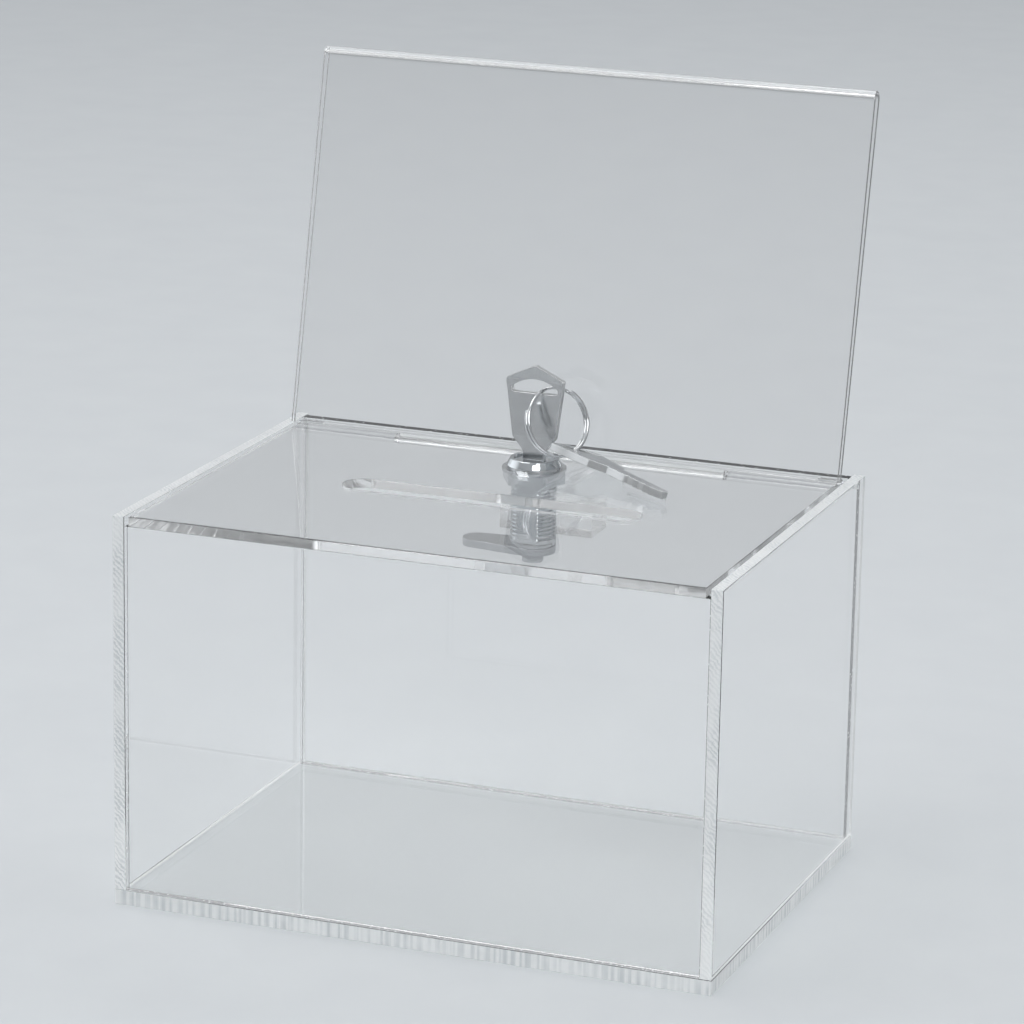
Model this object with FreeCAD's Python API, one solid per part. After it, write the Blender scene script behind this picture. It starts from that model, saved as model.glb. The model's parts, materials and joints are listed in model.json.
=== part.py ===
import FreeCAD, Part
import math
import os

# Clear acrylic ballot box: hinged slotted lid, quarter-turn cam lock with its key, spare key on a split
# ring, and a leaning sign holder. X runs right, Y to the back, Z up, from the middle of the base's
# underside. Lengths are millimetres, angles degrees.

# Box panels
box_width = 160.0
box_depth = 116.0
box_height = 102.5
base_thick = 4.0
side_thick = 3.2
front_thick = 3.2
back_thick = 3.0
back_inset = 2.0

# Lid, ballot slot and hinge pins
lid_thick = 2.5
lid_side_gap = 1.2
lid_back_gap = 0.3
slot_length = 80.5
slot_width = 10.5
slot_from_front = 53.6
pin_dia = 1.6
pin_grip = 6.0
pin_recess = 0.2
pin_clear = 0.05
pin_press_clear = 0.01

# Folded sign holder
sign_side_gap = 0.3
sign_length = 101.0
sign_from_front = 102.0
sign_seat_gap = 0.05
sign_lean_angle = 12.0
leaf_thick = 1.5
mouth_gap = 0.8
fold_gap = 2.0
tab_width = 91.8
tab_length = 4.4
tab_clear = 0.3

# Lock housing
lock_from_front = 90.4
lock_left = 2.2
head_dia = 14.7
head_top_dia = 12.6
head_height = 2.0
face_recess = 0.6
barrel_dia = 12.0
barrel_flats = 10.5
barrel_length = 22.0
barrel_clear = 0.15
stop_lug_thick = 1.0
stop_lug_depth = 0.9
stop_lug_angle = 28.0

# Lock washer and nut
washer_dia = 17.0
washer_thick = 0.8
nut_flats = 15.0
nut_thick = 3.0
nut_clear = 0.1

# Plug, wafers and springs
plug_dia = 9.0
plug_clear = 0.05
flange_dia = 10.4
flange_thick = 1.4
plug_end_play = 0.1
keyway_clear = 0.12
keyway_end_gap = 0.6
tail_side = 5.0
tail_clear = 0.1
tail_short = 0.2
wafer_count = 4
wafer_first = 6.5
wafer_pitch = 3.0
wafer_thick = 1.0
wafer_length = 7.4
wafer_height = 5.0
wafer_clear = 0.1
window_clear = 0.2
spring_dia = 0.9
spring_bore = 0.5
spring_length = 4.0
spring_clear = 0.1

# Stop washer, cam, spring washer and screw
stop_washer_dia = 11.8
stop_washer_thick = 1.0
stop_washer_root_dia = 9.2
lock_turn_angle = 90.0
stop_play_angle = 1.0
cam_thick = 2.0
cam_root_width = 12.0
cam_tip_width = 8.0
cam_reach = 19.5
spring_washer_dia = 6.6
spring_washer_thick = 0.6
screw_dia = 3.0
screw_clear = 0.05
screw_length = 4.6
screw_end_gap = 0.3
screw_head_dia = 5.6
screw_head_height = 2.0
screw_slot_width = 0.8
screw_slot_depth = 0.9

# Keeper block
keeper_width = 26.0
keeper_depth = 11.5
keeper_height = 8.0
keeper_gap = 0.3

# Keys, sized along the key from its neck
key_lift = 2.4
key_thick = 2.0
neck_width = 5.6
neck_height = 1.0
bow_low_width = 12.0
bow_low_height = 5.0
bow_top_width = 16.0
bow_top_height = 20.4
bow_height = 24.1
bow_round = 0.8
hole_width = 12.8
hole_base = 16.8
hole_height = 3.7
hole_end_round = 0.9
hole_end_angle = 75.0
blade_length = 22.0
blade_width = 6.0
tip_length = 3.0
tip_width = 1.6
tooth_pitch = 2.4
tooth_from_tip = 4.2
tooth_depth_shares = (0.16, 0.26, 0.12, 0.22, 0.18)
groove_width = 1.2
groove_depth = 0.5
groove_length = 17.0

# Split ring: places from the key's middle on top of the lid, and the turn of its plane
ring_wire = 0.9
ring_pitch = 1.34
ring_high_x = 2.53
ring_high_z = 20.29
ring_low_x = 9.62
ring_low_z = 3.82
ring_plane_angle = 53.5
ring_step_middle_angle = 90.0
ring_step_angle = 100.0
ring_flat_arc_count = 2
gap_point_count = 60

# Spare key on the ring
spare_place_angle = -82.7
spare_side = 1.65
spare_slack = 0.13
spare_heading_angle = -37.2
spare_slope_angle = 2.35
spare_tilt_angle = 18.9

# Overrun of every cut
overrun = 2.0

half_width = box_width / 2
half_depth = box_depth / 2
inner_half = half_width - side_thick
lid_top = box_height
lid_under = box_height - lid_thick
lid_half = inner_half - lid_side_gap
sign_width = 2 * (inner_half - sign_side_gap)
back_inner = half_depth - back_inset - back_thick
hinge_y = back_inner - lid_back_gap - lid_thick / 2
hinge_z = box_height - lid_thick / 2
lock_x = -lock_left
lock_y = lock_from_front - half_depth
face_z = lid_top + head_height - face_recess
barrel_end = lid_top - barrel_length
plug_end = barrel_end - plug_end_play
stop_washer_end = plug_end - stop_washer_thick
cam_end = stop_washer_end - cam_thick
spring_washer_end = cam_end - spring_washer_thick
key_z = lid_top + key_lift
key_tip_z = key_z - blade_length
X = FreeCAD.Vector(1, 0, 0)
Y = FreeCAD.Vector(0, 1, 0)
Z = FreeCAD.Vector(0, 0, 1)


def vec(x, y, z):
    return FreeCAD.Vector(x, y, z)


def span(x0, x1, y0, y1, z0, z1):
    return Part.makeBox(x1 - x0, y1 - y0, z1 - z0, vec(x0, y0, z0))


def rod(dia, z0, z1):
    # A round bar on the lock's axis.
    return Part.makeCylinder(dia / 2, z1 - z0, vec(lock_x, lock_y, z0))


def bar(x_size, y_size, z0, z1):
    # A square-cornered bar on the lock's axis.
    return span(lock_x - x_size / 2, lock_x + x_size / 2, lock_y - y_size / 2, lock_y + y_size / 2, z0, z1)


def ring_sector(inner_dia, outer_dia, start, sweep, z0, z1):
    # A piece of a flat ring on the lock's axis, from the start angle through the sweep.
    outer = Part.makeCylinder(outer_dia / 2, z1 - z0, vec(lock_x, lock_y, z0), Z, sweep)
    outer.rotate(vec(lock_x, lock_y, z0), Z, start)
    return outer.cut(rod(inner_dia, z0 - overrun, z1 + overrun))


def base_panel():
    return span(-half_width, half_width, -half_depth, half_depth, 0, base_thick)


def side_panel(side):
    # Stands on the base over its full depth, with a hole for the hinge pin.
    outer = side * half_width
    inner = side * inner_half
    panel = span(min(outer, inner), max(outer, inner), -half_depth, half_depth, base_thick, box_height)
    hole = Part.makeCylinder(pin_dia / 2 + pin_clear, side_thick + 2 * overrun,
                             vec(min(outer, inner) - overrun, hinge_y, hinge_z), X)
    return panel.cut(hole)


def front_panel():
    return span(-inner_half, inner_half, -half_depth, front_thick - half_depth, base_thick, lid_under)


def back_panel():
    return span(-inner_half, inner_half, back_inner, back_inner + back_thick, base_thick, box_height)


def keeper_block():
    low = stop_washer_end + keeper_gap
    return span(lock_x - keeper_width / 2, lock_x + keeper_width / 2,
                back_inner - keeper_depth, back_inner, low, low + keeper_height)


def hinge_pin(side):
    # Runs from just inside the side panel's face into the lid's rear edge.
    outer = half_width - pin_recess
    inner = lid_half - pin_grip
    start = vec(side * inner, hinge_y, hinge_z)
    return Part.makeCylinder(pin_dia / 2, outer - inner, start, X * side)


def sign_frame(w, v):
    # A point of the leaning sign: w runs back through its thickness, v up along its lean.
    lean = math.radians(sign_lean_angle)
    depth = 2 * leaf_thick + mouth_gap
    y = sign_from_front - half_depth + w * math.cos(lean) + v * math.sin(lean)
    z = lid_top + sign_seat_gap + (depth - w) * math.sin(lean) + v * math.cos(lean)
    return y, z


def sign_block(w0, w1, v0, v1, width):
    corners = []
    for w, v in ((w0, v0), (w1, v0), (w1, v1), (w0, v1), (w0, v0)):
        y, z = sign_frame(w, v)
        corners.append(vec(-width / 2, y, z))
    return Part.Face(Part.makePolygon(corners)).extrude(X * width)


def sign_fold(front, back, rear_foot, low):
    # The section between two faces of the folded sheet: up the front, over the fold, down the back.
    fold = (back - front) / 2
    middle = (front + back) / 2
    spring = sign_length - leaf_thick - fold_gap / 2
    places = ((front, low), (front, spring), (middle, spring + fold), (back, spring), (rear_foot, 0),
              (rear_foot, low))
    points = []
    for w, v in places:
        y, z = sign_frame(w, v)
        points.append(vec(-sign_width / 2, y, z))
    edges = [Part.makeLine(points[0], points[1]),
             Part.Arc(points[1], points[2], points[3]).toShape(),
             Part.makeLine(points[3], points[4]),
             Part.makeLine(points[4], points[5]),
             Part.makeLine(points[5], points[0])]
    return Part.Face(Part.Wire(edges)).extrude(X * sign_width)


def sign_holder():
    # One sheet folded over at the top; a narrower tab of both leaves goes down through the lid.
    depth = 2 * leaf_thick + mouth_gap
    outer = sign_fold(0, 2 * leaf_thick + fold_gap, depth, -tab_length)
    inner = sign_fold(leaf_thick, leaf_thick + fold_gap, leaf_thick + mouth_gap, -tab_length - overrun)
    sheet = outer.cut(inner)
    beside = (sign_width - tab_width) / 2
    for side in (-1, 1):
        away = sign_block(-overrun, depth + overrun, -tab_length - overrun, 0, beside + overrun)
        away.translate(X * (side * (tab_width + beside + overrun) / 2))
        sheet = sheet.cut(away)
    return sheet


def barrel_shape(dia, flats, z0, z1):
    # Round with two flats, which keep the lock from turning in the lid.
    return rod(dia, z0, z1).common(bar(dia + overrun, flats, z0, z1))


def lid_panel():
    # Rests on the front panel; its rear edge is rounded about the hinge pins.
    lid = span(-lid_half, lid_half, -half_depth, hinge_y, lid_under, lid_top)
    rear = Part.makeCylinder(lid_thick / 2, 2 * lid_half, vec(-lid_half, hinge_y, hinge_z), X)
    lid = lid.fuse(rear).removeSplitter()
    slot_y = slot_from_front - half_depth
    straight = (slot_length - slot_width) / 2
    low = lid_under - overrun
    high = lid_top + overrun
    slot = span(-straight, straight, slot_y - slot_width / 2, slot_y + slot_width / 2, low, high)
    for side in (-1, 1):
        slot = slot.fuse(Part.makeCylinder(slot_width / 2, high - low, vec(side * straight, slot_y, low)))
    depth = 2 * leaf_thick + mouth_gap
    reach = 2 * (tab_length + overrun)
    tab_slot = sign_block(-tab_clear, depth + tab_clear, -reach, reach, tab_width + 2 * tab_clear)
    lock_hole = barrel_shape(barrel_dia + 2 * barrel_clear, barrel_flats + 2 * barrel_clear, low, high)
    lid = lid.cut(slot.removeSplitter()).cut(tab_slot).cut(lock_hole)
    for side in (-1, 1):
        bore = Part.makeCylinder(pin_dia / 2 + pin_press_clear, pin_grip + overrun,
                                 vec(side * (lid_half - pin_grip), hinge_y, hinge_z), X * side)
        lid = lid.cut(bore)
    return lid


def lock_housing():
    # Conical head on a flatted barrel, with a stop lug under its end.
    centre = vec(lock_x, lock_y, lid_top)
    head = Part.makeCone(head_dia / 2, head_top_dia / 2, head_height, centre)
    barrel = barrel_shape(barrel_dia, barrel_flats, barrel_end, lid_top)
    bore = rod(plug_dia + 2 * plug_clear, barrel_end - overrun, lid_top + overrun)
    flange_seat = face_z - flange_thick
    mouth = rod(flange_dia + 2 * plug_clear, flange_seat, lid_top + head_height + overrun)
    body = head.fuse(barrel).removeSplitter().cut(bore).cut(mouth)
    lug = ring_sector(barrel_dia - 2 * stop_lug_thick, barrel_dia, -stop_lug_angle / 2, stop_lug_angle,
                      barrel_end - stop_lug_depth, barrel_end)
    return body.fuse(lug).removeSplitter()


def lock_washer():
    z1 = lid_under
    ring = rod(washer_dia, z1 - washer_thick, z1)
    return ring.cut(rod(barrel_dia + 2 * barrel_clear, z1 - washer_thick - overrun, z1 + overrun))


def lock_nut():
    z1 = lid_under - washer_thick
    z0 = z1 - nut_thick
    radius = nut_flats / math.sqrt(3)
    corners = []
    for step in range(7):
        angle = math.radians(60 * step)
        corners.append(vec(lock_x + radius * math.cos(angle), lock_y + radius * math.sin(angle), z0))
    hexagon = Part.Face(Part.makePolygon(corners)).extrude(Z * nut_thick)
    return hexagon.cut(rod(barrel_dia + 2 * nut_clear, z0 - overrun, z1 + overrun))


def wafer_middles():
    return [lid_top - wafer_first - wafer_pitch * step for step in range(wafer_count)]


def spring_y():
    return lock_y + wafer_height / 2 + wafer_clear + spring_clear + spring_dia / 2


def lock_plug():
    # Flanged plug with a keyway, cross slots for the wafers, and a square tail for the cam.
    flange = rod(flange_dia, face_z - flange_thick, face_z)
    body = rod(plug_dia, plug_end, face_z)
    tail = bar(tail_side, tail_side, cam_end + tail_short, plug_end)
    plug = flange.fuse(body).removeSplitter().fuse(tail)
    keyway = bar(blade_width + 2 * keyway_clear, key_thick + 2 * keyway_clear,
                 key_tip_z - keyway_end_gap, face_z + overrun)
    plug = plug.cut(keyway)
    pocket = spring_length + 2 * spring_clear
    pocket_end = spring_y() + spring_dia / 2 + spring_clear
    for middle in wafer_middles():
        low = middle - wafer_thick / 2 - wafer_clear
        high = middle + wafer_thick / 2 + wafer_clear
        plug = plug.cut(bar(plug_dia + overrun, wafer_height + 2 * wafer_clear, low, high))
        plug = plug.cut(span(lock_x - pocket / 2, lock_x + pocket / 2, lock_y, pocket_end, low, high))
    screw_top = spring_washer_end + screw_length
    return plug.cut(rod(screw_dia + 2 * screw_clear, cam_end, screw_top + screw_end_gap))


def lock_wafers():
    # Thin plates across the plug, each with a window that the blade passes through.
    wafers = []
    for middle in wafer_middles():
        low = middle - wafer_thick / 2
        high = middle + wafer_thick / 2
        plate = bar(wafer_length, wafer_height, low, high)
        window = bar(blade_width + 2 * window_clear, key_thick + 2 * window_clear,
                     low - overrun, high + overrun)
        wafers.append(plate.cut(window))
    return Part.makeCompound(wafers)


def wafer_springs():
    # Small springs beside the wafers, as plain sleeves.
    springs = []
    for middle in wafer_middles():
        start = vec(lock_x - spring_length / 2, spring_y(), middle)
        sleeve = Part.makeCylinder(spring_dia / 2, spring_length, start, X)
        springs.append(sleeve.cut(Part.makeCylinder(spring_bore / 2, spring_length, start, X)))
    return Part.makeCompound(springs)


def tail_hole(z0, z1):
    return bar(tail_side + 2 * tail_clear, tail_side + 2 * tail_clear, z0 - overrun, z1 + overrun)


def cam_stop_washer():
    # Its notch leaves the housing's lug a quarter turn.
    disc = rod(stop_washer_dia, stop_washer_end, plug_end)
    start = -stop_lug_angle / 2 - stop_play_angle
    sweep = stop_lug_angle + lock_turn_angle + 2 * stop_play_angle
    notch = ring_sector(stop_washer_root_dia, stop_washer_dia + overrun, start, sweep,
                        stop_washer_end - overrun, plug_end + overrun)
    return disc.cut(notch).cut(tail_hole(stop_washer_end, plug_end))


def lock_cam():
    # Flat tongue that points left when unlocked and back, under the keeper, when locked.
    tip_round = cam_tip_width / 2
    tip_x = lock_x - cam_reach + tip_round
    corners = [vec(lock_x, lock_y - cam_root_width / 2, cam_end),
               vec(lock_x, lock_y + cam_root_width / 2, cam_end),
               vec(tip_x, lock_y + tip_round, cam_end),
               vec(tip_x, lock_y - tip_round, cam_end)]
    tongue = Part.Face(Part.makePolygon(corners + corners[:1])).extrude(Z * cam_thick)
    tongue = tongue.fuse(rod(cam_root_width, cam_end, stop_washer_end))
    tongue = tongue.fuse(Part.makeCylinder(tip_round, cam_thick, vec(tip_x, lock_y, cam_end)))
    return tongue.removeSplitter().cut(tail_hole(cam_end, stop_washer_end))


def cam_spring_washer():
    ring = rod(spring_washer_dia, spring_washer_end, cam_end)
    return ring.cut(rod(screw_dia + 2 * screw_clear, spring_washer_end - overrun, cam_end + overrun))


def cam_screw():
    # Slotted screw that holds the cam on the plug's tail.
    head_end = spring_washer_end - screw_head_height
    screw = rod(screw_head_dia, head_end, spring_washer_end)
    screw = screw.fuse(rod(screw_dia, spring_washer_end, spring_washer_end + screw_length))
    slot = bar(screw_head_dia + overrun, screw_slot_width, head_end - overrun, head_end + screw_slot_depth)
    return screw.cut(slot)


def key_outline():
    # Pointed blade below the neck, five-sided bow above it.
    half_blade = blade_width / 2
    half = [(tip_width / 2, -blade_length), (half_blade, tip_length - blade_length), (half_blade, 0),
            (neck_width / 2, neck_height), (bow_low_width / 2, bow_low_height),
            (bow_top_width / 2, bow_top_height)]
    mirrored = [(-x, z) for x, z in reversed(half)]
    points = [vec(x, -key_thick / 2, z) for x, z in half + [(0, bow_height)] + mirrored]
    return Part.makePolygon(points + points[:1])


def key_hole():
    # Flat below, arched above, with rounded ends.
    end = hole_width / 2 - hole_end_round
    turn = math.radians(hole_end_angle)
    middle_z = hole_base + hole_end_round
    high_x = end + hole_end_round * math.cos(turn)
    high_z = middle_z + hole_end_round * math.sin(turn)
    front = -key_thick / 2
    right = [vec(end, front, hole_base),
             vec(end + hole_end_round, front, middle_z),
             vec(high_x, front, high_z)]
    left = [vec(-point.x, front, point.z) for point in right]
    top = vec(0, front, hole_base + hole_height)
    edges = [Part.makeLine(left[0], right[0]),
             Part.Arc(right[0], right[1], right[2]).toShape(),
             Part.Arc(right[2], top, left[2]).toShape(),
             Part.Arc(left[2], left[1], left[0]).toShape()]
    return Part.Face(Part.Wire(edges)).extrude(Y * key_thick)


def plain_key():
    # A key standing on the origin with its neck at zero: bow up, teeth on its right edge.
    key = Part.Face(key_outline()).extrude(Y * key_thick)
    corners = []
    for edge in key.Edges:
        place = edge.CenterOfMass
        if abs(place.y) < key_thick / 4 and place.z > bow_low_height - neck_height:
            corners.append(edge)
    key = key.makeFillet(bow_round, corners).cut(key_hole())
    for step, share in enumerate(tooth_depth_shares):
        z = tooth_from_tip + tooth_pitch * step - blade_length
        depth = blade_width * share
        edge_x = blade_width / 2
        front = -key_thick / 2 - overrun
        notch = [vec(edge_x - depth, front, z), vec(edge_x, front, z + tooth_pitch / 2),
                 vec(edge_x + overrun, front, z), vec(edge_x, front, z - tooth_pitch / 2)]
        notch = Part.Face(Part.makePolygon(notch + notch[:1])).extrude(Y * (key_thick + 2 * overrun))
        key = key.cut(notch)
    groove = span(-groove_width, 0, -key_thick / 2 - overrun, groove_depth - key_thick / 2,
                  -blade_length - overrun, groove_length - blade_length)
    return key.cut(groove)


def lock_key():
    key = plain_key()
    key.translate(vec(lock_x, lock_y, key_z))
    return key


def ring_axes():
    # Middle and radius of the ring, with its downward, sideways and through directions.
    high = vec(ring_high_x, 0, ring_high_z)
    low = vec(ring_low_x, 0, ring_low_z)
    middle = (high + low) * 0.5
    down = low - high
    radius = down.Length / 2
    down.normalize()
    turn = math.radians(ring_plane_angle)
    across = X * math.cos(turn) + Y * math.sin(turn)
    across = across - down * across.dot(down)
    across.normalize()
    through = across.cross(down * -1)
    return vec(lock_x, lock_y, lid_top) + middle, radius, down, across, through


def ring_point(angle, offset):
    # A point on the ring, from its sideways direction up over the top, and the way along it.
    middle, radius, down, across, through = ring_axes()
    turn = math.radians(angle)
    point = middle + (across * math.cos(turn) - down * math.sin(turn)) * radius + through * offset
    along = down * -math.cos(turn) - across * math.sin(turn)
    return point, along


def tangent_arc(start, along, end):
    # The arc that leaves the start in the given direction and reaches the end.
    chord = end - start
    side = chord - along * chord.dot(along)
    height = side.Length
    side.normalize()
    radius = chord.dot(chord) / (2 * height)
    centre = start + side * radius
    out = (start + end) * 0.5 - centre
    out.normalize()
    return Part.Arc(start, centre + out * radius, end).toShape()


def biarc(start, along, end, along_end):
    # Two arcs that join two points and their directions smoothly.
    chord = end - start
    both = along + along_end
    spread = 2 * (1 - along.dot(along_end))
    lead = chord.dot(both)
    reach = (math.sqrt(lead * lead + spread * chord.dot(chord)) - lead) / spread
    middle = (start + end + (along - along_end) * reach) * 0.5
    first = tangent_arc(start, along, middle)
    second = tangent_arc(end, along_end * -1, middle)
    return [first, Part.Arc(second.valueAt(second.LastParameter),
                            second.valueAt((second.FirstParameter + second.LastParameter) / 2),
                            second.valueAt(second.FirstParameter)).toShape()]


def ring_path():
    # A flat turn, a step across to the other side over the top, and a second flat turn.
    start = ring_step_middle_angle + ring_step_angle / 2
    flat = 360 - ring_step_angle
    side = ring_pitch / 2
    stops = [(start + flat * step / ring_flat_arc_count, -side) for step in range(ring_flat_arc_count + 1)]
    again = start + flat + ring_step_angle
    stops += [(again + flat * step / ring_flat_arc_count, side) for step in range(ring_flat_arc_count + 1)]
    edges = []
    for (angle, offset), (next_angle, next_offset) in zip(stops, stops[1:]):
        point, along = ring_point(angle, offset)
        end, along_end = ring_point(next_angle, next_offset)
        edges += biarc(point, along, end, along_end)
    return Part.Wire(edges)


def ring_least_gap(path):
    # The least space between stretches of the wire that lie over a quarter turn apart along it.
    points = path.discretize(ring_flat_arc_count * 4 * gap_point_count)
    step = path.Length / len(points)
    apart = int(ring_axes()[1] * math.pi / 2 / step)
    least = path.Length
    for place, point in enumerate(points):
        for other in points[place + apart:]:
            least = min(least, point.distanceToPoint(other))
    return least - ring_wire


def key_ring():
    path = ring_path()
    start, along = ring_point(ring_step_middle_angle + ring_step_angle / 2, -ring_pitch / 2)
    section = Part.Wire([Part.Circle(start, along, ring_wire / 2).toShape()])
    print("key ring: least gap between turns", round(ring_least_gap(path), 3), "mm")
    shell = Part.BRepOffsetAPI.MakePipeShell(path)
    shell.add(section)
    shell.build()
    shell.makeSolid()
    return shell.shape()


def spare_key():
    # Hangs on the ring by its hole and lies nearly flat on the lid, tip to the right, teeth to the front.
    middle = ring_point(spare_place_angle, 0)[0]
    heading = math.radians(spare_heading_angle)
    slope = math.radians(spare_slope_angle)
    tilt = math.radians(spare_tilt_angle)
    along = vec(math.cos(slope) * math.cos(heading), math.cos(slope) * math.sin(heading), -math.sin(slope))
    level = Z.cross(along)
    level.normalize()
    side = level * math.cos(tilt) - along.cross(level) * math.sin(tilt)
    face = along.cross(side)
    neck = middle + along * (hole_base + hole_height / 2 + spare_slack) + side * spare_side
    place = FreeCAD.Matrix(-side.x, face.x, -along.x, neck.x,
                           -side.y, face.y, -along.y, neck.y,
                           -side.z, face.z, -along.z, neck.z,
                           0, 0, 0, 1)
    key = plain_key()
    key.Placement = FreeCAD.Placement(place)
    return key


os.makedirs("parts", exist_ok=True)
pieces = {
    "base_panel": base_panel(),
    "left_side_panel": side_panel(-1),
    "right_side_panel": side_panel(1),
    "front_panel": front_panel(),
    "back_panel": back_panel(),
    "keeper_block": keeper_block(),
    "lid_panel": lid_panel(),
    "left_hinge_pin": hinge_pin(-1),
    "right_hinge_pin": hinge_pin(1),
    "sign_holder": sign_holder(),
    "lock_housing": lock_housing(),
    "lock_washer": lock_washer(),
    "lock_nut": lock_nut(),
    "lock_plug": lock_plug(),
    "lock_wafers": lock_wafers(),
    "wafer_springs": wafer_springs(),
    "cam_stop_washer": cam_stop_washer(),
    "lock_cam": lock_cam(),
    "cam_spring_washer": cam_spring_washer(),
    "cam_screw": cam_screw(),
    "lock_key": lock_key(),
    "key_ring": key_ring(),
    "spare_key": spare_key(),
}
for name, shape in pieces.items():
    print(name, "valid" if shape.isValid() else "not valid", len(shape.Solids), "solids",
          round(shape.Volume, 2), "mm3")
    shape.exportStep("parts/" + name + ".step")
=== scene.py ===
import json
import math

import bmesh
import bpy
from mathutils import Matrix, Vector


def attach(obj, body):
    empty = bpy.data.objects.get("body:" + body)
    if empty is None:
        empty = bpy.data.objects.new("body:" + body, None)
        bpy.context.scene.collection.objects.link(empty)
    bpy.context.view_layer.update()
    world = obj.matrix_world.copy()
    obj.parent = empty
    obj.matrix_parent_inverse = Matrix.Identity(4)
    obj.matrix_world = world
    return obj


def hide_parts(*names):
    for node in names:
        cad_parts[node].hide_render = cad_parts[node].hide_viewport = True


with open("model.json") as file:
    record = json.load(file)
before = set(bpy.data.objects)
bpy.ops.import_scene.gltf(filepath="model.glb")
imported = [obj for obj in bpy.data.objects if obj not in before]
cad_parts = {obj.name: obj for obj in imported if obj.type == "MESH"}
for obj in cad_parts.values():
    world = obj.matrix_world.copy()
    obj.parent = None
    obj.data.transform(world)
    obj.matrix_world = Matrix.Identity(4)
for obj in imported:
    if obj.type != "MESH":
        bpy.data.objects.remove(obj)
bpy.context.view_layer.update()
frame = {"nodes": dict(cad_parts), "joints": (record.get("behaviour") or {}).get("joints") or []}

# The base is a sheet of cast acrylic, sawn to the full width and depth of the box. Its two faces keep the
# gloss of the casting and its four edges the chatter of the saw; the walls are cemented onto it.
MM = 0.001
ARRIS = 0.22 * MM  # width of the small bevel on a sawn edge
CEMENT = 0.02 * MM  # half the film of cement between two sheets
DOUBLE = 0.001 * MM  # corners nearer than this are one
FLAT_ANGLE = math.radians(0.5)  # facets that meet flatter than this are one face
SHARP_ANGLE = math.radians(35)  # edges sharper than this are broken
CURVE_ANGLE = math.radians(50)  # faces that meet flatter than this shade as one curve
WIPE_MARK = 28 * MM  # size of the wipe marks on the faces
SAW_BITE = 9 * MM  # length over which the bite of the saw varies
EDGE_RELIEF = 0.12 * MM  # depth of the marks on an edge at full strength
EDGE_ON = 0.6  # a surface turned this far from the faces is an edge
BUBBLE_SHARE = 0.22  # size of a bubble as a share of the pitch
WAVE_SCALE = 0.628  # scale of the wave texture at a pitch of one metre


def linear(colour):
    # An sRGB hex colour as linear red, green, blue and alpha.
    shades = [int(colour[place:place + 2], 16) / 255 for place in (1, 3, 5)]
    return [s / 12.92 if s <= 0.04045 else ((s + 0.055) / 1.055) ** 2.4 for s in shades] + [1.0]


def add(owner, kind, inputs=None, **settings):
    # One node of a material or world with its settings, and its inputs as values or links.
    made = owner.node_tree.nodes.new(kind)
    for name, value in settings.items():
        setattr(made, name, value)
    for name, value in (inputs or {}).items():
        if isinstance(value, bpy.types.NodeSocket):
            owner.node_tree.links.new(value, made.inputs[name])
        else:
            made.inputs[name].default_value = value
    return made


def new_material(name):
    # An empty material with its output.
    material = bpy.data.materials.new(name)
    material.use_nodes = True
    material.node_tree.nodes.clear()
    output = material.node_tree.nodes.new("ShaderNodeOutputMaterial")
    return material, output


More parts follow.
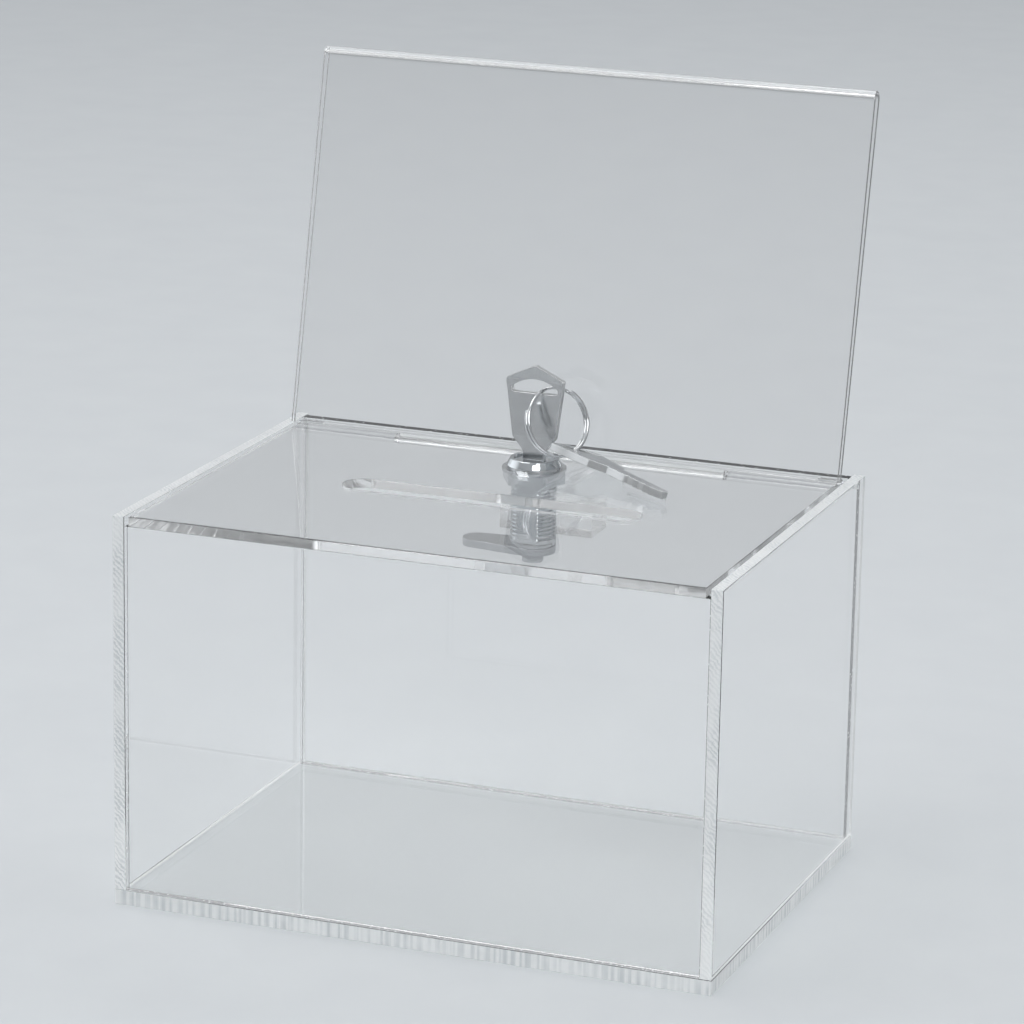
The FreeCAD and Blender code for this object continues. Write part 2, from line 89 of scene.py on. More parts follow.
def cast_acrylic(name, faces, edge, pitch, upright=False):
    # Cast acrylic: clear, colourless and glossy, with faint wipe marks on its faces. Sawn edges are milky
    # with uneven tooth marks, drawn a little coarse so that they show; cemented ends are clear with small
    # bubbles caught in the cement; polished edges only ripple. The pitch of the marks is in millimetres.
    material, output = new_material(name)
    place = add(material, "ShaderNodeTexCoord")
    spot = place.outputs["Object"]
    facing = add(material, "ShaderNodeSeparateXYZ", {0: place.outputs["Normal"]})
    flat = add(material, "ShaderNodeMath", {0: facing.outputs[faces]}, operation="ABSOLUTE")
    rim = add(material, "ShaderNodeMath", {0: flat.outputs[0], 1: EDGE_ON}, operation="LESS_THAN")
    wipes = add(material, "ShaderNodeTexNoise",
                {"Vector": spot, "Scale": 1 / WIPE_MARK, "Detail": 3.0, "Distortion": 0.8})
    gloss = add(material, "ShaderNodeMapRange",
                {"Value": wipes.outputs[0], "From Min": 0.5, "From Max": 0.8, "To Min": 0.0, "To Max": 0.03})
    if edge == "sawn":
        along = add(material, "ShaderNodeMapping",
                    {"Vector": spot, "Scale": (1.0, 1.0, 0.0 if upright else 1.0)})
        teeth = add(material, "ShaderNodeTexWave",
                    {"Vector": along.outputs[0], "Scale": WAVE_SCALE / (pitch * MM), "Distortion": 9.0,
                     "Detail": 4.0, "Detail Scale": 0.9, "Detail Roughness": 0.7},
                    bands_direction="DIAGONAL")
        bite = add(material, "ShaderNodeTexNoise", {"Vector": spot, "Scale": 1 / SAW_BITE, "Detail": 2.0})
        press = add(material, "ShaderNodeMapRange",
                    {"Value": bite.outputs[0], "From Min": 0.35, "From Max": 0.65,
                     "To Min": 0.25, "To Max": 1.0})
        marks = add(material, "ShaderNodeMath",
                    {0: teeth.outputs["Fac"], 1: press.outputs[0]}, operation="MULTIPLY")
        clear, rough, tints, depth = (0.5, 0.15), (0.3, 0.6), ("#FAFBFB", "#D3D7D9"), 0.22
    elif edge == "cemented":
        cells = add(material, "ShaderNodeTexVoronoi",
                    {"Vector": spot, "Scale": 1 / (pitch * MM), "Randomness": 0.8})
        marks = add(material, "ShaderNodeMath",
                    {0: cells.outputs["Distance"], 1: BUBBLE_SHARE}, operation="LESS_THAN")
        clear, rough, tints, depth = (1.0, 0.5), (0.02, 0.4), ("#FBFCFC", "#E6EAEB"), 0.1
    else:
        marks = add(material, "ShaderNodeTexNoise",
                    {"Vector": spot, "Scale": 1 / (pitch * MM), "Detail": 1.0})
        clear, rough, tints, depth = (0.9, 0.7), (0.0, 0.06), ("#FEFEFE", "#F8F9F9"), 0.12
    # From the plain edge to its marks, the clearness, the roughness and the tint of the edge change.
    milk = add(material, "ShaderNodeMapRange",
               {"Value": marks.outputs[0], "To Min": clear[0], "To Max": clear[1]})
    grain = add(material, "ShaderNodeMapRange",
                {"Value": marks.outputs[0], "To Min": rough[0], "To Max": rough[1]})
    tint = add(material, "ShaderNodeMix",
               {0: marks.outputs[0], 6: linear(tints[0]), 7: linear(tints[1])}, data_type="RGBA")
    colour = add(material, "ShaderNodeMix",
                 {0: rim.outputs[0], 6: linear("#FEFEFE"), 7: tint.outputs[2]}, data_type="RGBA")
    roughness = add(material, "ShaderNodeMix",
                    {0: rim.outputs[0], 2: gloss.outputs[0], 3: grain.outputs[0]}, data_type="FLOAT")
    clearness = add(material, "ShaderNodeMix",
                    {0: rim.outputs[0], 2: 1.0, 3: milk.outputs[0]}, data_type="FLOAT")
    height = add(material, "ShaderNodeMath", {0: marks.outputs[0], 1: rim.outputs[0]}, operation="MULTIPLY")
    relief = add(material, "ShaderNodeBump",
                 {"Height": height.outputs[0], "Strength": depth, "Distance": EDGE_RELIEF})
    surface = add(material, "ShaderNodeBsdfPrincipled",
                  {"Base Color": colour.outputs[2], "Roughness": roughness.outputs[0], "IOR": 1.49,
                   "Transmission Weight": clearness.outputs[0], "Normal": relief.outputs[0]})
    # Lamp light passes straight through, so that what lies behind the clear sheet is lit.
    path = add(material, "ShaderNodeLightPath")
    through = add(material, "ShaderNodeBsdfTransparent", {"Color": linear("#F6F7F7")})
    passing = add(material, "ShaderNodeMixShader",
                  {0: path.outputs["Is Shadow Ray"], 1: surface.outputs[0], 2: through.outputs[0]})
    material.node_tree.links.new(passing.outputs[0], output.inputs["Surface"])
    return material


def select_only(piece):
    # The next operators act on this piece alone.
    bpy.ops.object.select_all(action="DESELECT")
    piece.select_set(True)
    bpy.context.view_layer.objects.active = piece


def bring_in(name, data):
    # A new object in the scene, selected alone.
    piece = bpy.data.objects.new(name, data)
    bpy.context.scene.collection.objects.link(piece)
    select_only(piece)
    return piece


def smooth_finish(piece):
    # Curved faces shade smoothly and flat ones stay flat up to their broken edges.
    bpy.ops.object.shade_smooth_by_angle(angle=CURVE_ANGLE)
    level = piece.modifiers.new("level_faces", "WEIGHTED_NORMAL")
    level.mode = "FACE_AREA"
    level.weight = 100
    level.keep_sharp = True
    bpy.ops.object.modifier_apply(modifier=level.name)


def finished_copy(name, arris=ARRIS, shrink=CEMENT, steps=2, broken=None):
    # A copy of a solid's mesh, its facets merged to plain faces and its sharp edges broken by a small arris,
    # all of them or those that the given test of an edge's middle picks. A sheet first shrinks by its share
    # of the film of cement.
    piece = bring_in(name + "_finished", frame["nodes"][name].data.copy())
    bpy.ops.object.mode_set(mode="EDIT")
    bpy.ops.mesh.select_mode(type="EDGE")
    bpy.ops.mesh.select_all(action="SELECT")
    bpy.ops.mesh.remove_doubles(threshold=DOUBLE)
    bpy.ops.mesh.dissolve_limited(angle_limit=FLAT_ANGLE)
    if shrink:
        bpy.ops.transform.shrink_fatten(value=-shrink, use_even_offset=True)
    if arris:
        bpy.ops.mesh.select_all(action="DESELECT")
        bpy.ops.mesh.edges_select_sharp(sharpness=SHARP_ANGLE)
        if broken:
            edges = bmesh.from_edit_mesh(piece.data).edges
            for edge in edges:
                if edge.select and not broken((edge.verts[0].co + edge.verts[1].co) / 2):
                    edge.select = False
            bmesh.update_edit_mesh(piece.data)
        bpy.ops.mesh.bevel(offset=arris, segments=steps, affect="EDGES", clamp_overlap=False)
    bpy.ops.object.mode_set(mode="OBJECT")
    smooth_finish(piece)
    return piece


def settle(piece, node, body, material):
    # The finished piece takes its material, moves with its body and stands for its solid.
    piece.data.materials.clear()
    piece.data.materials.append(material)
    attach(piece, body)
    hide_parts(node)


settle(finished_copy("base_panel"), "base_panel", "box",
       cast_acrylic("cast_acrylic_base", "Z", "sawn", pitch=2.2, upright=True))

# The two side walls are thinner sheets of the same acrylic, stood on the base over its full depth. Their
# front, back and top edges are left as the saw cut them, with slanting tooth marks that catch the light.
# Each is drilled through for a hinge pin, and the drilled edges stay sharp.
joint_places = {joint["name"]: Vector(joint["pos_m"]) for joint in frame["joints"] if joint.get("pos_m")}
HINGE = joint_places["lid_hinge"]
PIN_EDGE = 1.0 * MM  # reach of the pin's hole and its edge from the hinge's axis


def clear_of_pin(spot):
    # Whether an edge lies outside the pin's hole.
    return (spot - HINGE).yz.length > PIN_EDGE


for side in ("left_side_panel", "right_side_panel"):
    settle(finished_copy(side, broken=clear_of_pin), side, "box",
           cast_acrylic("cast_acrylic_" + side, "X", "sawn", pitch=1.5))

# The front and back walls are acrylic sheets cemented onto the base and between the sides, so only their top
# edges are open. Their edges are clear, with small bubbles caught where the cement didn't run.
for wall in ("front_panel", "back_panel"):
    settle(finished_copy(wall), wall, "box",
           cast_acrylic("cast_acrylic_" + wall, "Y", "cemented", pitch=1.3))

# The keeper is a small block of clear acrylic with polished edges, cemented inside the back wall. When the
# lock is turned its cam goes in under the block, and the lid stays shut.
settle(finished_copy("keeper_block"), "keeper_block", "box",
       cast_acrylic("cast_acrylic_keeper", "Y", "polished", pitch=2.0))

# The lid is the thinnest sheet of the box. It lies between the sides and turns on two pins in its round rear
# edge; it is routed for the ballot slot, the sign's tab and the lock, and its edges are polished.
LID_ARRIS = 0.14 * MM
settle(finished_copy("lid_panel", LID_ARRIS, broken=clear_of_pin), "lid_panel", "lid",
       cast_acrylic("cast_acrylic_lid", "Z", "polished", pitch=6.0))

# The sign holder is one thin sheet, heated along a line and folded over on itself, so its top is a round
# bend and a card fits between its leaves. It leans back, and its tab plugs into the lid.
SIGN_ARRIS = 0.16 * MM
settle(finished_copy("sign_holder", SIGN_ARRIS), "sign_holder", "sign",
       cast_acrylic("cast_acrylic_sign", "Y", "polished", pitch=8.0))

# The hinge is two plain pins of zinc plated steel, a cool light grey that mirrors softly. They are pressed
# into the ends of the lid's rear edge, and turn in the holes of the side walls.
PIN_ARRIS = 0.15 * MM
BUFF_RELIEF = 0.02 * MM  # depth of the grain on metal at full strength
SHEAR_MARK = 0.35 * MM  # width of the score lines on a sheared edge
SHEAR_DRAWN = 8.0  # how many times longer they are than wide


def plated_metal(name, bright, dull, roughness, grain, lie=(0.0, 0.0, 0.0), drawn=1.0, blanked=False):
    # Plated metal: a smooth bright skin whose tone and gloss vary a little, with the grain, in millimetres,
    # drawn out along the way it was rubbed. The sheared edges of a blanked piece are duller and scored
    # across.
    material, output = new_material(name)
    place = add(material, "ShaderNodeTexCoord")
    along = add(material, "ShaderNodeMapping",
                {"Vector": place.outputs["Object"], "Rotation": lie, "Scale": (1.0, 1.0, drawn)},
                vector_type="TEXTURE")
    rubbing = add(material, "ShaderNodeTexNoise",
                  {"Vector": along.outputs[0], "Scale": 1 / (grain * MM), "Detail": 3.0, "Roughness": 0.6})
    gloss = add(material, "ShaderNodeMapRange",
                {"Value": rubbing.outputs[0], "From Min": 0.3, "From Max": 0.7,
                 "To Min": roughness * 0.75, "To Max": roughness * 1.25})
    tone = add(material, "ShaderNodeMix",
               {0: rubbing.outputs[0], 6: linear(bright), 7: linear(dull)}, data_type="RGBA")
    height, finish = rubbing.outputs[0], gloss.outputs[0]
    if blanked:
        facing = add(material, "ShaderNodeMapping",
                     {"Vector": place.outputs["Normal"], "Rotation": lie}, vector_type="TEXTURE")
        across = add(material, "ShaderNodeSeparateXYZ", {0: facing.outputs[0]})
        flat = add(material, "ShaderNodeMath", {0: across.outputs["Y"]}, operation="ABSOLUTE")
        rim = add(material, "ShaderNodeMath", {0: flat.outputs[0], 1: EDGE_ON}, operation="LESS_THAN")
        level = add(material, "ShaderNodeMapping",
                    {"Vector": place.outputs["Object"], "Rotation": lie, "Scale": (1.0, SHEAR_DRAWN, 1.0)},
                    vector_type="TEXTURE")
        shear = add(material, "ShaderNodeTexNoise",
                    {"Vector": level.outputs[0], "Scale": 1 / SHEAR_MARK, "Detail": 2.0})
        score = add(material, "ShaderNodeMapRange", {"Value": shear.outputs[0], "To Min": 0.3, "To Max": 0.5})
        depth = add(material, "ShaderNodeMix",
                    {0: rim.outputs[0], 2: rubbing.outputs[0], 3: shear.outputs[0]}, data_type="FLOAT")
        dulled = add(material, "ShaderNodeMix",
                     {0: rim.outputs[0], 2: gloss.outputs[0], 3: score.outputs[0]}, data_type="FLOAT")
        height, finish = depth.outputs[0], dulled.outputs[0]
    relief = add(material, "ShaderNodeBump", {"Height": height, "Strength": 0.05, "Distance": BUFF_RELIEF})
    surface = add(material, "ShaderNodeBsdfPrincipled",
                  {"Base Color": tone.outputs[2], "Metallic": 1.0, "Roughness": finish,
                   "Normal": relief.outputs[0]})
    material.node_tree.links.new(surface.outputs[0], output.inputs["Surface"])
    return material


steel = plated_metal("zinc_plated_steel", "#C8CACC", "#B7BABD", roughness=0.2, grain=3.0)
for pin in ("left_hinge_pin", "right_hinge_pin"):
    settle(finished_copy(pin, PIN_ARRIS, 0), pin, "lid", steel)

# The cam lock's body, plug and nut are die-cast zinc under bright chrome plate: almost a mirror, with soft
# ripples where the casting was buffed. The body goes down through the lid, its barrel threaded for the nut,
# and the plug turns in it.
LOCK_TOP = joint_places["lock_turn"]
HEAD_ARRIS, PLUG_ARRIS, NUT_ARRIS = 0.2 * MM, 0.12 * MM, 0.15 * MM
HEAD_RIM = LOCK_TOP.z + 1.9 * MM  # height just under the head's top
HEAD_FOOT = 7.2 * MM  # reach of all but the head's foot from the axis
PLUG_FACE = LOCK_TOP.z + 1.35 * MM  # height just under the plug's face
NUT_BORE = 6.4 * MM  # reach of the nut's bore and its edge from the axis
THREAD_PITCH = 1.0 * MM
THREAD_TURNS = 17
THREAD_START = 81.4 * MM  # height at which the cut begins
TOOL_OUT, TOOL_TIP = 6.2 * MM, 5.55 * MM  # reach of the tool's base and tip from the axis
TOOL_HALF = 0.49 * THREAD_PITCH  # half the tool's width, so that its turns stay apart
TOOL_STEPS = 48


def head_edge(spot):
    # The rims of the lock's head, at its top and round its foot.
    return spot.z > HEAD_RIM or (spot - LOCK_TOP).xy.length > HEAD_FOOT


def plug_edge(spot):
    # The edges of the plug's face and of the slot in it.
    return spot.z > PLUG_FACE


def nut_edge(spot):
    # The nut's outer edges, outside its thread.
    return (spot - LOCK_TOP).xy.length > NUT_BORE


def cut_away(piece, tool):
    # The tool's shape is cut out of the piece, and the tool is put away.
    select_only(piece)
    cut = piece.modifiers.new("cut", "BOOLEAN")
    cut.operation = "DIFFERENCE"
    cut.solver = "EXACT"
    cut.object = tool
    bpy.ops.object.modifier_apply(modifier=cut.name)
    bpy.data.objects.remove(tool)


chrome = plated_metal("chrome_plated_zinc", "#D0D3D5", "#BEC2C5", roughness=0.05, grain=4.0)
housing = finished_copy("lock_housing", HEAD_ARRIS, 0, 3, head_edge)
# The barrel's fine thread is cut by a V tool that runs up round it; the flats lie below the thread's root.
bpy.ops.object.select_all(action="DESELECT")
bpy.ops.mesh.primitive_circle_add(vertices=3, radius=TOOL_OUT, fill_type="NOTHING")
tool = bpy.context.active_object
tool_corners = ((TOOL_OUT, -TOOL_HALF), (TOOL_OUT, TOOL_HALF), (TOOL_TIP, 0.0))
for corner, (out, up) in zip(tool.data.vertices, tool_corners):
    corner.co = (out, 0, up)
winding = tool.modifiers.new("winding", "SCREW")
winding.axis = "Z"
winding.screw_offset = THREAD_PITCH
winding.iterations = THREAD_TURNS
winding.steps = winding.render_steps = TOOL_STEPS
bpy.ops.object.modifier_apply(modifier=winding.name)
tool.data.transform(Matrix.Translation((LOCK_TOP.x, LOCK_TOP.y, THREAD_START)))
bpy.ops.object.mode_set(mode="EDIT")
bpy.ops.mesh.select_all(action="SELECT")
bpy.ops.mesh.fill_holes(sides=len(tool_corners))
bpy.ops.mesh.select_all(action="SELECT")
bpy.ops.mesh.normals_make_consistent(inside=False)
bpy.ops.object.mode_set(mode="OBJECT")
cut_away(housing, tool)
smooth_finish(housing)
settle(housing, "lock_housing", "lid", chrome)
settle(finished_copy("lock_plug", PLUG_ARRIS, 0, 2, plug_edge), "lock_plug", "lock_core", chrome)
settle(finished_copy("lock_nut", NUT_ARRIS, 0, 2, nut_edge), "lock_nut", "lid", chrome)

# Under the lid a washer lies above the nut. On the plug's tail sit the washer that stops the turn, the cam
# and a spring washer, held by a slotted screw; all are pressed or turned steel, zinc plated as the pins are.
PRESSED_ARRIS = 0.12 * MM
for part, body in (("lock_washer", "lid"), ("cam_stop_washer", "lock_core"), ("lock_cam", "lock_core"),
                   ("cam_spring_washer", "lock_core"), ("cam_screw", "lock_core")):
    settle(finished_copy(part, PRESSED_ARRIS, 0), part, body, steel)

# Inside the plug are four wafers stamped from sheet brass, which the key's blade holds level, and beside
# each its small steel spring, a plain sleeve here because the plug hides it.
brass = plated_metal("stamped_brass", "#D2AE5C", "#B8923F", roughness=0.3, grain=1.5)
settle(finished_copy("lock_wafers", 0, 0), "lock_wafers", "lock_core", brass)
settle(finished_copy("wafer_springs", 0, 0), "wafer_springs", "lock_core", steel)

# The key in the lock is blanked from sheet brass, rubbed lengthwise to a satin and nickel plated. Its bow
# stands above the lock, with an arched hole for the ring; its blade is down in the plug. Tumbling has
# rounded all its edges.
KEY_LIFT = 2.4 * MM  # height of the key's neck above the lid
KEY_THICK = 2.0 * MM
KEY_ROUND = 0.18 * MM
BLADE_HALF, BLADE_LONG = 3.0 * MM, 22.0 * MM
TIP_HALF, TIP_LONG = 0.8 * MM, 3.0 * MM
TOOTH_PITCH, FIRST_TOOTH = 2.4 * MM, 4.2 * MM
TOOTH_SHARES = (0.16, 0.26, 0.12, 0.22, 0.18)  # depths of the teeth as shares of the blade's width
NECK_HALF, NECK_HIGH = 2.8 * MM, 1.0 * MM
BOW_LOW_HALF, BOW_LOW = 6.0 * MM, 5.0 * MM  # half the bow's width, and the height above the neck
BOW_TOP_HALF, BOW_TOP = 8.0 * MM, 20.4 * MM
BOW_PEAK = 24.1 * MM
BOW_ROUND = 0.8 * MM
HOLE_HALF, HOLE_SILL, HOLE_HIGH = 6.4 * MM, 16.8 * MM, 3.7 * MM
HOLE_END_ROUND, HOLE_END_TURN = 0.9 * MM, 75.0
ARCH_STEPS = 24
GROOVE_WIDE, GROOVE_DEEP, GROOVE_LONG = 1.2 * MM, 0.5 * MM, 17.0 * MM
OVERRUN = 2.0 * MM  # reach of the groove's cutter outside the key


def arc(centre, radius, start, end, steps=8):
    # Points along an arc, its angles in degrees.
    turns = [math.radians(start + (end - start) * step / steps) for step in range(steps + 1)]
    return [(centre[0] + radius * math.cos(turn), centre[1] + radius * math.sin(turn)) for turn in turns]


def rounded_corner(before, at, after, radius):
    # The arc that rounds a corner of an outline.
    corner = Vector(at)
    back, ahead = (Vector(before) - corner).normalized(), (Vector(after) - corner).normalized()
    half = math.acos(back.dot(ahead)) / 2
    centre = corner + (back + ahead).normalized() * radius / math.sin(half)
    first = corner + back * radius / math.tan(half) - centre
    last = corner + ahead * radius / math.tan(half) - centre
    start = math.degrees(math.atan2(first.y, first.x))
    sweep = math.degrees(math.atan2(first.x * last.y - first.y * last.x, first.dot(last)))
    return arc(centre, radius, start, start + sweep)


def curve_to_mesh(name, curve):
    # A curve's object made a closed mesh, its doubles merged and its faces pointing outwards.
    bring_in(name, curve)
    bpy.ops.object.convert(target="MESH")
    bpy.ops.object.mode_set(mode="EDIT")
    bpy.ops.mesh.select_all(action="SELECT")
    bpy.ops.mesh.remove_doubles(threshold=DOUBLE)
    bpy.ops.mesh.normals_make_consistent(inside=False)
    bpy.ops.object.mode_set(mode="OBJECT")
    return bpy.context.active_object


# The outline runs from the tip up the toothed edge, round the bow and down the back of the blade.
key_edge = [(TIP_HALF, -BLADE_LONG), (BLADE_HALF, TIP_LONG - BLADE_LONG)]
for step, share in enumerate(TOOTH_SHARES):
    low = FIRST_TOOTH + TOOTH_PITCH * step - BLADE_LONG
    key_edge += [(BLADE_HALF - 2 * BLADE_HALF * share, low), (BLADE_HALF, low + TOOTH_PITCH / 2)]
bow = [(NECK_HALF, NECK_HIGH), (BOW_LOW_HALF, BOW_LOW), (BOW_TOP_HALF, BOW_TOP), (0.0, BOW_PEAK)]
bow += [(-x, y) for x, y in reversed(bow[:-1])]
key_edge += [(BLADE_HALF, 0.0), bow[0]]
for before, at, after in zip(bow, bow[1:], bow[2:]):
    key_edge += rounded_corner(before, at, after, BOW_ROUND)
key_edge += [bow[-1], (-BLADE_HALF, 0.0), (-BLADE_HALF, TIP_LONG - BLADE_LONG), (-TIP_HALF, -BLADE_LONG)]
# The hole has a flat sill, small round ends and a low arch between them.
hole_end = HOLE_HALF - HOLE_END_ROUND
hole_middle = HOLE_SILL + HOLE_END_ROUND
arch_reach = hole_end + HOLE_END_ROUND * math.cos(math.radians(HOLE_END_TURN))
arch_rise = HOLE_HIGH - HOLE_END_ROUND - HOLE_END_ROUND * math.sin(math.radians(HOLE_END_TURN))
arch_round = (arch_reach ** 2 + arch_rise ** 2) / (2 * arch_rise)
arch_turn = math.degrees(math.asin(arch_reach / arch_round))
arch_middle = (0.0, HOLE_SILL + HOLE_HIGH - arch_round)
ring_hole = (arc((hole_end, hole_middle), HOLE_END_ROUND, -90.0, HOLE_END_TURN)
             + arc(arch_middle, arch_round, 90.0 - arch_turn, 90.0 + arch_turn, ARCH_STEPS)[1:-1]
             + arc((-hole_end, hole_middle), HOLE_END_ROUND, 180.0 - HOLE_END_TURN, 270.0))
sheet = bpy.data.curves.new("key_blank", "CURVE")
sheet.dimensions = "2D"
sheet.fill_mode = "BOTH"
sheet.extrude = KEY_THICK / 2 - KEY_ROUND
sheet.bevel_depth = KEY_ROUND
sheet.bevel_resolution = 2
sheet.offset = -KEY_ROUND
for points in (key_edge, ring_hole):
    line = sheet.splines.new("POLY")
    line.use_cyclic_u = True
    line.points.add(len(points) - 1)
    for knot, (x, y) in zip(line.points, points):
        knot.co = (x, y, 0, 1)
key_blank = curve_to_mesh("key_blank", sheet)
key_blank.data.transform(Matrix.Rotation(math.radians(90), 4, "X"))
# A groove is milled up the blade's front face from its tip.
groove_low = Vector((-GROOVE_WIDE, -KEY_THICK / 2 - OVERRUN, -BLADE_LONG - OVERRUN))
groove_high = Vector((0.0, GROOVE_DEEP - KEY_THICK / 2, GROOVE_LONG - BLADE_LONG))
bpy.ops.object.select_all(action="DESELECT")
bpy.ops.mesh.primitive_cube_add(size=1.0)
cutter = bpy.context.active_object
cutter.data.transform(Matrix.Translation((groove_low + groove_high) / 2)
                      @ Matrix.Diagonal((groove_high - groove_low).to_4d()))
cut_away(key_blank, cutter)
smooth_finish(key_blank)


def placed_key(name, stand):
    # A copy of the blank with its own mesh, put in its place.
    key = bring_in(name, key_blank.data.copy())
    key.data.transform(stand)
    return key


def satin_nickel(name, lie=(0.0, 0.0, 0.0)):
    # Nickel plate over rubbed brass: a pale grey satin with fine hair lines along the key.
    return plated_metal(name, "#D6D7D8", "#BDBFC0", roughness=0.17, grain=0.45, lie=lie, drawn=14.0,
                        blanked=True)


key_stand = Matrix.Translation(LOCK_TOP + Vector((0, 0, KEY_LIFT)))
settle(placed_key("lock_key_finished", key_stand), "lock_key", "key", satin_nickel("satin_nickel_plate_key"))

# The split ring is spring wire under bright nickel plate, wound nearly twice round and stepping across
# itself at the top, where a key is threaded on. Its two ends are cut square.
WIRE = 0.9 * MM
TURN_PITCH = 1.34 * MM
RING_LOW_X, RING_LOW_Z = 9.62 * MM, 3.82 * MM  # the ring's lowest place, from the lock on the lid
RING_PLANE = math.radians(53.5)
STEP_MIDDLE, STEP_SPAN = 90.0, 100.0  # where the wire steps across, and over how much of a turn
KNOT_SPAN = 10.0
ring_high = joint_places["ring_swing"]
ring_low = LOCK_TOP + Vector((RING_LOW_X, 0, RING_LOW_Z))
ring_middle = (ring_high + ring_low) / 2
ring_radius = (ring_low - ring_high).length / 2
ring_down = (ring_low - ring_high).normalized()
ring_across = Vector((math.cos(RING_PLANE), math.sin(RING_PLANE), 0))
ring_across = (ring_across - ring_down * ring_across.dot(ring_down)).normalized()
ring_through = ring_across.cross(-ring_down)


def on_ring(station):
    # The place on the ring's middle line at an angle in degrees, from its side up over its top.
    turn = math.radians(station)
    return ring_middle + ring_radius * (ring_across * math.cos(turn) - ring_down * math.sin(turn))


wind_start = STEP_MIDDLE + STEP_SPAN / 2
step_start = wind_start + 360.0 - STEP_SPAN
wind_end = step_start + 360.0
knot_count = round((wind_end - wind_start) / KNOT_SPAN) + 1
wound = bpy.data.curves.new("key_ring_wire", "CURVE")
wound.dimensions = "3D"
wound.bevel_depth = WIRE / 2
wound.bevel_resolution = 8
wound.resolution_u = 5
wound.use_fill_caps = True
turns = wound.splines.new("BEZIER")
turns.bezier_points.add(knot_count - 1)
for place, knot in enumerate(turns.bezier_points):
    station = wind_start + KNOT_SPAN * place
    share = min(max((station - step_start) / STEP_SPAN, 0.0), 1.0)
    offset = TURN_PITCH * (share * share * (3 - 2 * share) - 0.5)
    knot.co = on_ring(station) + ring_through * offset
    knot.handle_left_type = knot.handle_right_type = "AUTO"
ring = curve_to_mesh("key_ring_wound", wound)
bpy.ops.object.shade_smooth_by_angle(angle=CURVE_ANGLE)
settle(ring, "key_ring", "ring",
       plated_metal("bright_nickel_plate_wire", "#DADBDC", "#C6C8CA", roughness=0.1, grain=1.5))

# The spare key is the same blank on the ring, lying on the lid with its tip to the right and its teeth to
# the front. Its grain runs along it, as on the other key.
HEADING, SLOPE, TILT = math.radians(-37.2), math.radians(2.35), math.radians(18.9)
HANG_STATION = -82.7  # where on the ring the key hangs
HANG_SLACK = 0.13 * MM
HANG_SIDE = 1.65 * MM
spare_along = Vector((math.cos(SLOPE) * math.cos(HEADING), math.cos(SLOPE) * math.sin(HEADING),
                      -math.sin(SLOPE)))
spare_level = Vector((0, 0, 1)).cross(spare_along).normalized()
spare_side = spare_level * math.cos(TILT) - spare_along.cross(spare_level) * math.sin(TILT)
spare_turn = Matrix((-spare_side, spare_along.cross(spare_side), -spare_along)).transposed()
hole_to_neck = HOLE_SILL + HOLE_HIGH / 2 + HANG_SLACK
spare_neck = on_ring(HANG_STATION) + spare_along * hole_to_neck + spare_side * HANG_SIDE
spare_stand = Matrix.Translation(spare_neck) @ spare_turn.to_4x4()
settle(placed_key("spare_key_finished", spare_stand), "spare_key", "second_key",
       satin_nickel("satin_nickel_plate_spare", spare_turn.to_euler()))
bpy.data.objects.remove(key_blank)

# The box stands on a wide table covered in pale grey paper, which takes its shadow. The paper lies a hair
# below the base, so that the two faces don't share a plane.
TABLE_SIZE, TABLE_BACK, TABLE_DROP = 30.0, 1.0, 0.2 * MM
PAPER_FIBRE = 25 * MM  # size of the paper's clouds of fibre
bpy.ops.object.select_all(action="DESELECT")
bpy.ops.mesh.primitive_plane_add(size=TABLE_SIZE, location=(0, TABLE_BACK, -TABLE_DROP))
table = bpy.context.active_object
table.name = "table"
paper, paper_output = new_material("pale_paper")
paper_place = add(paper, "ShaderNodeTexCoord")
fibre = add(paper, "ShaderNodeTexNoise",
            {"Vector": paper_place.outputs["Object"], "Scale": 1 / PAPER_FIBRE, "Detail": 3.0})
paper_tone = add(paper, "ShaderNodeMix",
                 {0: fibre.outputs[0], 6: linear("#CDD0D2"), 7: linear("#C7CACD")}, data_type="RGBA")
paper_surface = add(paper, "ShaderNodeBsdfPrincipled",
                    {"Base Color": paper_tone.outputs[2], "Roughness": 0.85})
paper.node_tree.links.new(paper_surface.outputs[0], paper_output.inputs["Surface"])
table.data.materials.append(paper)

# Three softboxes hang high round the box: a square one on the left, a smaller one in front on the right and
# a long one behind, which brings out the edges of the clear sheets. The room is a plain grey that pales
# upwards, with a paler wall to the left that shines on the edges facing it.
LAMP_AIM = Vector((0, 0, 0.1))
ROOM_LOW, ROOM_HIGH, ROOM_PALEST = 0.35, 0.7, 0.8  # light from level and from above, and where it is palest
WALL_WAY = (-1.0, 0.0, 0.1)
WALL_RIM, WALL_GLOW = 0.75, 1.3  # where the paler wall begins, and its light at its middle


def softbox(name, place, width, height, power):
    # A flat rectangular lamp, turned to face the box.
    lamp = bpy.data.lights.new(name, "AREA")
    lamp.shape = "RECTANGLE"
    lamp.size = width
    lamp.size_y = height
    lamp.energy = power
    holder = bring_in(name, lamp)
    holder.location = place
    holder.rotation_euler = (LAMP_AIM - Vector(place)).to_track_quat("-Z", "Y").to_euler()


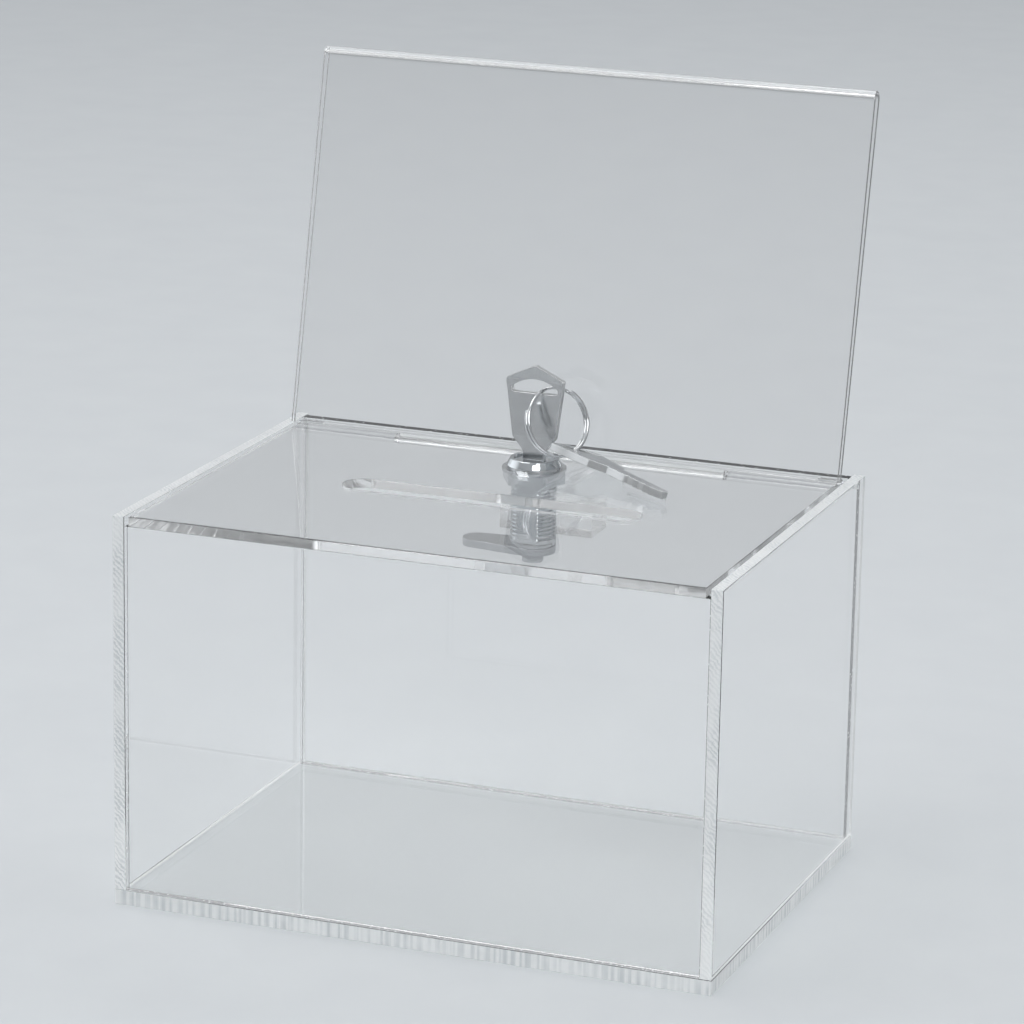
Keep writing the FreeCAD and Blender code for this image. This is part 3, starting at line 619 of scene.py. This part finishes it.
softbox("main_softbox", (-0.7, -0.2, 1.6), width=0.9, height=0.9, power=8.4)
softbox("front_softbox", (0.7, -1.2, 1.0), width=0.8, height=0.6, power=7.2)
softbox("rear_softbox", (0.2, 1.0, 1.5), width=1.4, height=0.5, power=5.5)
room = bpy.data.worlds.new("studio")
bpy.context.scene.world = room
room.use_nodes = True
way = add(room, "ShaderNodeTexCoord")
upward = add(room, "ShaderNodeSeparateXYZ", {0: way.outputs["Generated"]})
room_tone = add(room, "ShaderNodeMapRange",
                {"Value": upward.outputs["Z"], "From Min": 0.0, "From Max": ROOM_PALEST,
                 "To Min": ROOM_LOW, "To Max": ROOM_HIGH})
leftward = add(room, "ShaderNodeVectorMath", {0: way.outputs["Generated"], 1: WALL_WAY},
               operation="DOT_PRODUCT")
wall_tone = add(room, "ShaderNodeMapRange",
                {"Value": leftward.outputs["Value"], "From Min": WALL_RIM, "From Max": 1.0,
                 "To Min": 0.0, "To Max": WALL_GLOW})
both_tones = add(room, "ShaderNodeMath", {0: room_tone.outputs[0], 1: wall_tone.outputs[0]}, operation="ADD")
room_light = room.node_tree.nodes["Background"]
room_light.inputs["Color"].default_value = linear("#EDF0F3")
room.node_tree.links.new(both_tones.outputs[0], room_light.inputs["Strength"])
bpy.context.scene.view_settings.view_transform = "Standard"
# Light runs round inside the clear sheets many times before it leaves at an edge.
bpy.context.scene.cycles.max_bounces = 20
bpy.context.scene.cycles.glossy_bounces = 14
bpy.context.scene.cycles.transmission_bounces = 20

# The camera stands to the right of the front, a little above the lid. Its angles, in radians, its place and
# its lens are those at which the corners of the box fall where the photograph has them.
AZIMUTH, ELEVATION, ROLL = 0.3631, 0.2687, 0.018
CAMERA_ACROSS, CAMERA_UP, CAMERA_BACK = 5.5543 * MM, 94.4515 * MM, 1167.479 * MM
FOCAL_LENGTH, SENSOR_WIDTH = 157.96, 36.0
camera_back = Vector((math.sin(AZIMUTH) * math.cos(ELEVATION), -math.cos(AZIMUTH) * math.cos(ELEVATION),
                      math.sin(ELEVATION)))
level_right = Vector((math.cos(AZIMUTH), math.sin(AZIMUTH), 0))
level_up = camera_back.cross(level_right)
camera_right = level_right * math.cos(ROLL) + level_up * math.sin(ROLL)
camera_up = level_up * math.cos(ROLL) - level_right * math.sin(ROLL)
camera_place = camera_right * CAMERA_ACROSS + camera_up * CAMERA_UP + camera_back * CAMERA_BACK
camera_turn = Matrix((camera_right, camera_up, camera_back)).transposed()
lens = bpy.data.cameras.new("camera")
lens.lens = FOCAL_LENGTH
lens.sensor_width = SENSOR_WIDTH
camera = bring_in("camera", lens)
camera.matrix_world = Matrix.Translation(camera_place) @ camera_turn.to_4x4()
bpy.context.scene.camera = camera
